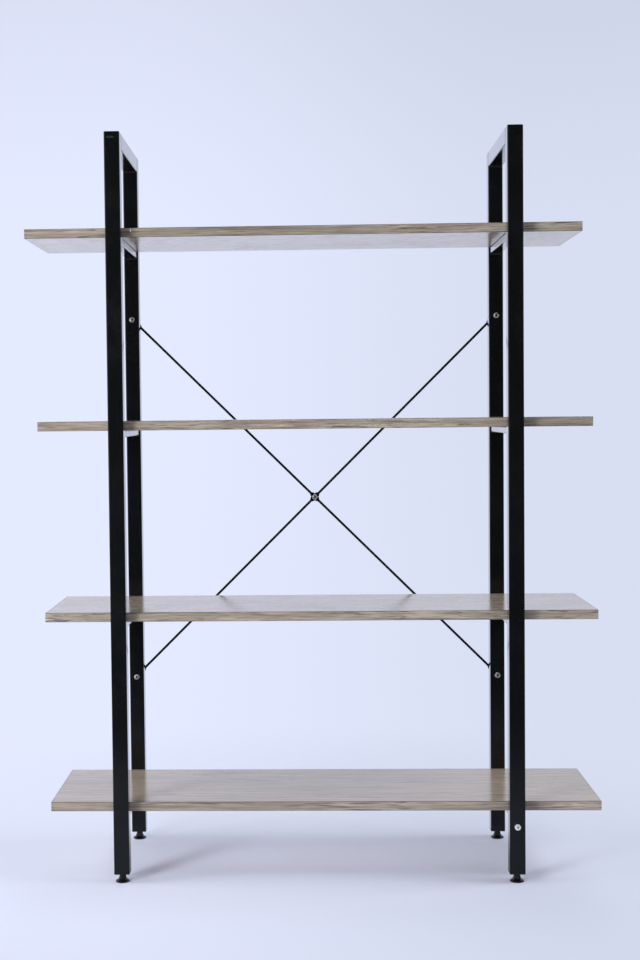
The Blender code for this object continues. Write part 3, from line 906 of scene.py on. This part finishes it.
def make_rod(node, slope, half_length, centre_front):
    rings = rod_rings(half_length, centre_front)
    rings += [(-place, pressed, width, front) for place, pressed, width, front in rings]
    tip = rings[0][0]
    rod = cylinder_on(node + "_bar", ROD_RADIUS, (0.0, 0.0, -tip), 2 * tip, ROD_SIDES)
    placed(rod, ORIGIN, (0.0, 0.0, math.pi / ROD_SIDES))
    placed(rod, ORIGIN, (0.0, QUARTER_TURN, 0.0))
    edit(rod)
    for place, _, _, _ in rings:
        if abs(place) < tip:
            bpy.ops.mesh.select_all(action="SELECT")
            bpy.ops.mesh.bisect(plane_co=(place, 0.0, 0.0), plane_no=(1.0, 0.0, 0.0))
    for place, pressed, width, front in rings:
        if pressed > 0.0:
            press_ring(rod, place, pressed, width, front)
    leave_edit()
    placed(rod, middle_of(node), (0.0, -slope, 0.0))
    shade(rod, 50.0)
    hand_over(rod, DULL_BLACK, node)


# %% Both rods
reach = middle_of("brace_bolt_upper_right") - middle_of("brace_bolt_lower_left")
rod_half = math.hypot(reach.x, reach.z) / 2
rod_slope = math.atan2(reach.z, reach.x)
behind = CROSSING_GAP / 2
make_rod("brace_rod_rising", rod_slope, rod_half, -behind - FLAT_THICKNESS)
make_rod("brace_rod_falling", -rod_slope, rod_half, behind)
print("rods:", round(rod_half * 2000), "mm between their bolts")

# %% [markdown]
# ## Bolts and screws
# All the bright heads are pan heads with a cross recess. A short cylinder is the rim, its top
# face is extruded and shrunk a few times into a low dome, and a tapered cross is taken out
# with a Boolean. The thread is a triangle carried round the shank by a Screw modifier.

# %% Pan heads, shanks and threads
DOME_STEPS = ((0.90, 0.42), (0.86, 0.26), (0.80, 0.16), (0.62, 0.10))
RIM_SHARE = 0.32
HEAD_SIDES = 32
HEAD_CROSS = (0.60, 0.34, 0.62)
CROSS_TAPER = 0.45
RIDGE_SHARE = 0.52
THREAD_STEPS = 20


def cross_cutter(radius, height, shares):
    """A plus shape round z = 0 with a tapered lower end. Its reach and width are shares of a
    head's radius, and its depth is a share of the height."""
    reach, half, depth = radius * shares[0], radius * shares[1] / 2, height * shares[2]
    cutter = box_between("cross_cutter", (-half, -half, -depth), (half, half, depth))
    edit(cutter)
    for axis in (0, 1):
        for sign in (-1, 1):
            looks, across = faces_to(axis, sign), 1 - axis
            on_axis = lambda f: abs(f.calc_center_median()[across]) < half / 2
            pick(cutter, "FACE", lambda f: looks(f) and on_axis(f))
            pull(axis, sign * (reach - half))
    pick(cutter, "VERT", lambda v: v.co.z < 0.0)
    narrow(CROSS_TAPER, -depth)
    leave_edit()
    return cutter


def pan_head(name, radius, height, shank_radius, shank_length):
    """A bolt that stands head up, with the underside of its head at z = 0."""
    top = height * RIM_SHARE
    bolt = cylinder_on(name, radius, ORIGIN, top, HEAD_SIDES)
    dome = height - top
    edit(bolt)
    pick(bolt, "FACE", faces_to(2, 1))
    for shrink, rise in DOME_STEPS:
        step = dome * rise / sum(share for _, share in DOME_STEPS)
        pull(2, step)
        top += step
        narrow(shrink, top)
    pick(bolt, "FACE", faces_to(2, -1))
    bpy.ops.mesh.inset(thickness=radius - shank_radius)
    pull(2, -shank_length)
    leave_edit()
    cut_with(bolt, placed(cross_cutter(radius, height, HEAD_CROSS), (0.0, 0.0, height)))
    return bolt


def thread_on(bolt, radius, pitch, low_z, turns):
    """Joins a helical ridge to an upright shank. The triangle's point reaches the radius."""
    ridge_radius = pitch * RIDGE_SHARE
    bpy.ops.object.select_all(action="DESELECT")
    bpy.ops.mesh.primitive_circle_add(vertices=3, radius=ridge_radius, fill_type="NGON")
    ridge = bpy.context.object
    placed(ridge, (radius - ridge_radius, 0.0, low_z), (QUARTER_TURN, QUARTER_TURN, 0.0))
    turning = {"axis": "Z", "angle": 2 * math.pi, "screw_offset": pitch, "iterations": turns}
    apply_modifier(ridge, "SCREW", steps=THREAD_STEPS, render_steps=THREAD_STEPS, **turning)
    edit(ridge)
    bpy.ops.mesh.select_all(action="SELECT")
    bpy.ops.mesh.fill_holes(sides=3)
    bpy.ops.mesh.normals_make_consistent(inside=False)
    leave_edit()
    only(ridge, bolt)
    bpy.ops.object.join()


print("bolt helpers ready")

# %% [markdown]
# ## Placing the bolts
# Four long bolts go in from the front of the rear posts and hold the ends of the rods, a short
# one clamps the crossing, and one more sits low on the front right post. Each length is
# modelled once, head up on the origin, and its copies are turned to face the front.

# %% M6 bolts
BOLT_RADIUS = 0.003
BOLT_CORE = 0.0024
BOLT_HEAD_RADIUS = 0.006
BOLT_HEAD_HEIGHT = 0.0040
BOLT_PITCH = 0.001
THREAD_START = BOLT_PITCH * 0.6
THREAD_RADIUS = BOLT_RADIUS - 0.00003
LONG_SHANK, LONG_TURNS = 0.040, 12
SHORT_SHANK, SHORT_TURNS = 0.012, 11
FACING_FRONT = (QUARTER_TURN, 0.0, 0.0)
FACING_REAR = (-QUARTER_TURN, 0.0, 0.0)


def bolt_pattern(name, length, turns):
    bolt = pan_head(name, BOLT_HEAD_RADIUS, BOLT_HEAD_HEIGHT, BOLT_CORE, length)
    thread_on(bolt, THREAD_RADIUS, BOLT_PITCH, THREAD_START - length, turns)
    shade(bolt, 35.0)
    return bolt


def seat_bolt(pattern, node, finish):
    seat = seat_of(node, 1, BOLT_HEAD_HEIGHT)
    set_copy(pattern, node, "_turned", finish, seat, FACING_FRONT)


long_bolt = bolt_pattern("long_bolt", LONG_SHANK, LONG_TURNS)
short_bolt = bolt_pattern("short_bolt", SHORT_SHANK, SHORT_TURNS)
for node in CORNER_BOLTS:
    seat_bolt(long_bolt, node, ZINC)
seat_bolt(short_bolt, "brace_centre_bolt", ZINC)
seat_bolt(short_bolt, "post_bolt", LIT_ZINC)
print("long bolt:", len(long_bolt.data.polygons), "faces")
away_with(long_bolt, short_bolt)

# %% [markdown]
# ## Board screws
# Sixteen small countersunk screws come up from under the rungs into the boards. They are
# black, because the photograph shows nothing bright there. A cylinder is the straight shank,
# its upper face is pulled out wide into the head, and its lower one is drawn to a point.

# %% Board screws
SCREW_POINT = 0.003
POINT_SHARE = 0.1
SCREW_CROSS = (0.58, 0.26, 0.7)
UPSIDE_DOWN = (math.pi, 0.0, 0.0)

low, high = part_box("shelf_screw_1_left_front")
straight_low = SCREW_POINT - (high.z - low.z)
straight = -straight_low - SCREW_HEAD_HEIGHT
screw = cylinder_on("board_screw", SCREW_RADIUS, (0.0, 0.0, straight_low), straight, HEAD_SIDES)
edit(screw)
for sign, length, share in (
    (1, SCREW_HEAD_HEIGHT, SCREW_HEAD_RADIUS / SCREW_RADIUS),
    (-1, SCREW_POINT, POINT_SHARE),
):
    pick(screw, "FACE", faces_to(2, sign))
    pull(2, sign * length)
    narrow(share, 0.0)
leave_edit()
cut_with(screw, cross_cutter(SCREW_HEAD_RADIUS, SCREW_HEAD_HEIGHT, SCREW_CROSS))
shade(screw, 35.0)
for number in BOARDS:
    for side, end in CORNERS:
        node = f"shelf_screw_{number}_{side}_{end}"
        set_copy(screw, node, "_turned", DULL_BLACK, seat_of(node, 2), UPSIDE_DOWN)
print("board screws placed, each", len(screw.data.polygons), "faces")
away_with(screw)

# %% [markdown]
# ## Nuts
# A hexagon nut is a six-sided prism whose corners are turned off at both ends. What the prism
# shares with a round blank with bevelled rims is the nut. A second Boolean bores it.

# %% Nuts behind the rods
NUT_ACROSS_FLATS = 0.010
NUT_HEIGHT = 0.005
NUT_CHAMFER = 0.0006
BLANK_SIDES = 48
BORE_SLACK = 0.00005

corner_radius = NUT_ACROSS_FLATS / math.sqrt(3)
nut = cylinder_on("nut", corner_radius, ORIGIN, NUT_HEIGHT, 6)
blank = cylinder_on("nut_blank", corner_radius * 1.001, ORIGIN, NUT_HEIGHT, BLANK_SIDES)
edit(blank)
round_off(blank, is_level, NUT_CHAMFER, 1)
leave_edit()
cut_with(nut, blank, "INTERSECT")
bore_foot = (0.0, 0.0, -NUT_HEIGHT)
bore = cylinder_on("nut_bore", BOLT_RADIUS + BORE_SLACK, bore_foot, 3 * NUT_HEIGHT, HOLE_SIDES)
cut_with(nut, bore)
shade(nut, 25.0)
bolts = sorted(CORNER_BOLTS) + ["brace_centre_bolt"]
nut_nodes = [bolt.replace("bolt", "nut") for bolt in bolts]
for node in nut_nodes:
    set_copy(nut, node, "_chamfered", ZINC, seat_of(node, 1), FACING_REAR)
print(len(nut_nodes), "nuts placed, each", len(nut.data.polygons), "faces")
away_with(nut)

# The rivet nut behind the single bolt keeps its solid and takes the zinc finish.
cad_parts["post_rivet_nut"].data.materials.clear()
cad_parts["post_rivet_nut"].data.materials.append(ZINC)

# %% [markdown]
# ## Levelling feet
# A foot is one moulding on a threaded stem: a disc on the floor with a polished round rim, and
# a neck with eight flutes to grip while it is turned. The disc is a cylinder with bevelled
# rims. Its top face is pulled up in steps into the neck, and the points over each flute are
# drawn in towards the axis. A small inset of the top leaves the socket of the stem.

# %% Foot base
DISC_RADIUS = 0.0135
DISC_THICKNESS = 0.0030
DISC_ROUND = 0.0011
NECK_RINGS = (
    (0.0092, 0.0048), (0.0080, 0.0068), (0.0067, 0.0103), (0.0057, 0.0142), (0.0052, 0.0167)
)
FLUTES = 8
FLUTE_DEPTH = 0.0013
FLUTE_START = 0.35
FLUTE_RISE = 0.004
SHALLOWEST = 0.05
FOOT_SIDES = 96
PER_FLUTE = FOOT_SIDES // FLUTES
STEM_CLEARANCE = 0.0033
STEM_SOCKET = 0.0110


def in_flute(height, step):
    """A rule for the outer points at this height that lie this many steps past a ridge."""
    def rule(v):
        if abs(v.co.z - height) > TINY or math.hypot(v.co.x, v.co.y) < STEM_CLEARANCE * 1.2:
            return False
        return round(math.atan2(v.co.y, v.co.x) / (2 * math.pi) * FOOT_SIDES) % PER_FLUTE == step
    return rule


base = cylinder_on("foot_base", DISC_RADIUS, ORIGIN, DISC_THICKNESS, FOOT_SIDES)
edit(base)
round_off(base, is_level, DISC_ROUND, ROUND_STEPS)
pick(base, "FACE", lambda f: f.normal.z > 0.99 and len(f.verts) > 8)
radius, height = DISC_RADIUS - DISC_ROUND, DISC_THICKNESS
for next_radius, next_height in NECK_RINGS:
    pull(2, next_height - height)
    narrow(next_radius / radius, next_height)
    radius, height = next_radius, next_height
bpy.ops.mesh.inset(thickness=radius - STEM_CLEARANCE)
pull(2, -STEM_SOCKET)
for ring_radius, ring_height in NECK_RINGS[:-1]:
    fade = min(1.0, (ring_height - NECK_RINGS[0][1]) / FLUTE_RISE + FLUTE_START)
    for step in range(1, PER_FLUTE):
        groove = math.sin(math.pi * step / PER_FLUTE) ** 2
        if groove >= SHALLOWEST:
            pick(base, "VERT", in_flute(ring_height, step))
            narrow(1 - groove * fade * FLUTE_DEPTH / ring_radius, ring_height)
leave_edit()
shade(base, 50.0)
print("foot base:", len(base.data.polygons), "faces,", round(height * 1000, 1), "mm high")

# %% [markdown]
# The stem is an M6 threaded rod, one turn to the millimetre, the pitch that ties each foot's
# turn to its travel. It stays nearly hidden until the foot is screwed out.

# %% Threaded stem
STEM_CHAMFER = 0.0005

low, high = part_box("foot_stem_front_left")
stem_length = high.z - low.z
stem = cylinder_on("foot_stem", BOLT_CORE, ORIGIN, stem_length, HEAD_SIDES)
edit(stem)
at_top = lambda e: min(v.co.z for v in e.verts) > stem_length - TINY
round_off(stem, at_top, STEM_CHAMFER, 2)
leave_edit()
stem_turns = int(stem_length / BOLT_PITCH) - 1
thread_on(stem, THREAD_RADIUS, BOLT_PITCH, THREAD_START, stem_turns)
shade(stem, 35.0)
print("stem:", round(stem_length * 1000, 1), "mm,", len(stem.data.polygons), "faces")

# %% [markdown]
# The plug closes the end of the tube with its lip, a rounded square plate with a small bevel
# round the lower rim. Its upper face is inset and extruded into the sleeve, and a Boolean
# leaves the hole for the stem.

# %% Tube plug
SLEEVE_WALL_GAP = 0.0003
LIP_THICKNESS = 0.0025
LIP_ROUND = 0.0005

low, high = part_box("foot_plug_front_left")
half = (high.x - low.x) / 2
plug = box_between("foot_plug", (-half, -half, 0.0), (half, half, LIP_THICKNESS))
edit(plug)
round_off(plug, runs_along(2), TUBE_CORNER, ROUND_STEPS)
round_off(plug, lambda e: max(v.co.z for v in e.verts) < TINY, LIP_ROUND, 2)
pick(plug, "FACE", faces_to(2, 1))
bpy.ops.mesh.inset(thickness=TUBE_WALL + SLEEVE_WALL_GAP)
pull(2, high.z - low.z - LIP_THICKNESS)
leave_edit()
cut_with(plug, cylinder_on("plug_bore", STEM_CLEARANCE, (0.0, 0.0, -0.01), 0.05, HOLE_SIDES))
shade(plug, 35.0)
print("plug:", len(plug.data.polygons), "faces")

# %% All four feet
for label in [f"{end}_{side}" for end in ENDS for side in SIDES]:
    for pattern, kind, finish, body in (
        (base, "base", PLASTIC, "base_" + label),
        (stem, "stem", ZINC, "stem_" + label),
        (plug, "plug", PLASTIC, "frame"),
    ):
        node = f"foot_{kind}_{label}"
        set_copy(pattern, node, "_moulded", finish, seat_of(node, 2), body=body)
away_with(base, stem, plug)
print("four feet stand on the floor")

# %% [markdown]
# ## Floor and surroundings
# The photograph has a seamless pale studio. A very wide floor meets a sky of the same colour,
# so there is no corner to hide. Near the unit most of the floor's colour comes from real
# light, which keeps the object's shadow. In mirrors the floor is dim, and in front of the
# unit it fades out like a dark studio. That keeps the posts black and turns them grey near
# the floor.

# %% The colour of the paper
BLACK = (0.0, 0.0, 0.0)
# Painted light: the paper is lighter on the left and darker towards the right.
PALE = (0.785, 0.830, 1.02)
SHADED_PAPER_RIGHT = (0.690, 0.735, 0.895)
FAN_CENTRE = 4.0
FLOOR_NEAREST = 2.0
SKY_NEAREST = 0.03


def paper_light_from(x, y, nearest):
    """The paper's colour with painted light: lighter on the left and darker to the right, as a
    fan that spreads from in front of the unit.
    """
    away = maths("MAXIMUM", maths("ABSOLUTE", y), nearest)
    direction = maths("DIVIDE", x, away)
    return mixed(spread(direction, -0.14, 0.16), PALE, SHADED_PAPER_RIGHT)


def fresh_nodes(owner):
    """Gives a material or the world an empty node tree."""
    owner.use_nodes = True
    owner.node_tree.nodes.clear()
    return owner.node_tree


print("paper colours", PALE, SHADED_PAPER_RIGHT)

# %% Studio floor
FLOOR_REACH = 60.0
RETURNED_COLOUR = (0.78, 0.81, 0.90, 1.0)
GLOW = 0.75

bpy.ops.object.select_all(action="DESELECT")
bpy.ops.mesh.primitive_circle_add(vertices=64, radius=FLOOR_REACH, fill_type="NGON")
floor = settled("studio_floor")

floor_finish = bpy.data.materials.new("studio_paper")
tree = fresh_nodes(floor_finish)
x, y, z = add_node(tree, "SeparateXYZ", place_of(tree)).outputs
far = length_of(place_of(tree))
paper = paper_light_from(x, maths("ADD", y, FAN_CENTRE), FLOOR_NEAREST)
# Painted shade: the paper is up to 5.5% darker in front of the unit, fading out far away.
forward = spread(y, -0.55, -0.08, 0.055, 0.0)
forward = times(forward, spread(far, 1.5, 6.0, 1.0, 0.0))
paper = mixed(forward, paper, BLACK)
round_unit = lit_share = spread(far, 0.70, 1.40, 1.0, 0.0)
for socket, *limits in (
    (y, -0.08, 0.38, 0.97, 0.38),
    (y, -0.60, -0.25, 0.12, 1.0),
    (x, 0.40, 0.58, 1.0, 0.45),
):
    lit_share = times(lit_share, spread(socket, *limits))
print("floor", FLOOR_REACH * 2, "m across")

# %% [markdown]
# The camera and mirrors see the paper's own light and its lit part together. The object's
# lighting gets a plain paper that returns the lamps' light and glows a little near the unit.

# %% Who sees what of the floor
ray = add_node(tree, "LightPath").outputs
in_front = spread(y, -1.7, -0.5, 0.05, 0.40)
in_view = maths("ADD", in_front, spread(y, -0.05, 0.25, 0.0, 0.58))
in_mirrors = times(ray["Is Glossy Ray"], in_view)
seen = maths("MAXIMUM", ray["Is Camera Ray"], in_mirrors)
seen = maths("MAXIMUM", seen, ray["Is Transmission Ray"])
own_strength = times(seen, maths("SUBTRACT", 1.0, lit_share))
own_light = add_node(tree, "Emission", paper, own_strength).outputs[0]
lit_colour = mixed(times(lit_share, seen), BLACK, paper)
lit = add_node(tree, "BsdfDiffuse", lit_colour).outputs[0]
returned = add_node(tree, "BsdfDiffuse", RETURNED_COLOUR).outputs[0]
glow = add_node(tree, "Emission", paper, times(round_unit, GLOW)).outputs[0]
bounce = add_node(tree, "AddShader", returned, glow).outputs[0]
shown = add_node(tree, "AddShader", own_light, lit).outputs[0]
looking = maths("MAXIMUM", ray["Is Camera Ray"], ray["Is Glossy Ray"])
surface = add_node(tree, "MixShader", looking, bounce, shown).outputs[0]
add_node(tree, "OutputMaterial", surface)
floor.data.materials.append(floor_finish)
print("finish:", floor_finish.name)

# %% Studio sky
AMBIENT = 0.27
AMBIENT_COLOUR = (0.93, 0.96, 1.0, 1.0)

world = bpy.data.worlds.new("studio")
bpy.context.scene.world = world
tree = fresh_nodes(world)
direction = add_node(tree, "TexCoord").outputs["Generated"]
x, y, z = add_node(tree, "SeparateXYZ", direction).outputs
sky = paper_light_from(x, y, SKY_NEAREST)
# Painted shade: the sky turns up to 12% darker towards the top.
sky = mixed(spread(z, 0.10, 0.32, 0.0, 0.12), sky, BLACK)
ray = add_node(tree, "LightPath").outputs
behind_unit = spread(y, -0.10, 0.35, 0.03, 1.0)
lighting = add_node(tree, "Background", AMBIENT_COLOUR, AMBIENT).outputs[0]
mirrored = add_node(tree, "Background", sky, behind_unit).outputs[0]
shown = add_node(tree, "Background", sky, 1.0).outputs[0]
unseen = add_node(tree, "MixShader", ray["Is Glossy Ray"], lighting, mirrored).outputs[0]
looking = maths("MAXIMUM", ray["Is Camera Ray"], ray["Is Transmission Ray"])
surface = add_node(tree, "MixShader", looking, unseen, shown).outputs[0]
add_node(tree, "OutputWorld", surface)
print("sky ready")

# %% [markdown]
# ## Lamps
# The shadows of the front posts fall a little to their right on the edges of the boards, and
# two of them place the key lamp: about 2.5 m in front and 2.1 m to the left. A weak one stands
# opposite. Two more shine in from the sides, because the floor is bright under the ends of
# the boards and dark only between the posts, and one lights the rear faces. Mirrors see only
# the weak lamp and a large dim panel beside the key lamp, because the others would show in
# the gloss paint as hard white patches.

# %% Six lamps
LAMPS = (
    ("key_light", (-2.1, -2.5, 1.3), (0.0, 0.0, 0.65), 0.7, 52.0, False),
    ("key_panel", (-2.2, -2.6, 1.3), (0.0, 0.0, 0.65), 1.8, 24.0, True),
    ("fill_light", (2.6, -2.4, 1.6), (0.0, 0.0, 0.6), 1.0, 5.0, True),
    ("left_side_light", (-2.8, -0.4, 2.6), (0.0, 0.0, 0.4), 1.4, 42.0, False),
    ("right_side_light", (2.8, -0.1, 2.4), (0.2, 0.0, 0.3), 1.4, 47.0, False),
    ("rear_light", (0.3, 3.2, 1.7), (0.0, 0.0, 0.8), 1.6, 23.0, False),
)

for name, place, aim, size, power, in_mirrors in LAMPS:
    lamp = bpy.data.lights.new(name, "AREA")
    lamp.size = size
    lamp.energy = power
    soft_box = bpy.data.objects.new(name, lamp)
    bpy.context.scene.collection.objects.link(soft_box)
    soft_box.location = place
    soft_box.visible_glossy = in_mirrors
    towards = Vector(aim) - Vector(place)
    soft_box.rotation_euler = towards.to_track_quat("-Z", "Y").to_euler()
print(len(LAMPS), "lamps")

# %% [markdown]
# ## Camera
# The edges of the posts and boards were measured in the photograph, in pixels, and a pinhole
# camera was fitted to the solids. The unit stands a little off the middle of the picture,
# which the shift stands for.

# %% Camera
LENS = 56.84
SHIFT = (0.0652, -0.0051)
CAMERA_PLACE = (-0.0108, -3.0475, 0.9039)
CAMERA_DEGREES = (87.660, 0.603, 1.861)

camera_data = bpy.data.cameras.new("camera")
camera_data.lens = LENS
camera_data.shift_x, camera_data.shift_y = SHIFT
camera = bpy.data.objects.new("camera", camera_data)
bpy.context.scene.collection.objects.link(camera)
camera.location = CAMERA_PLACE
camera.rotation_euler = [math.radians(angle) for angle in CAMERA_DEGREES]
bpy.context.scene.camera = camera
bpy.context.scene.view_settings.view_transform = "Standard"
print("camera at", tuple(camera.location))
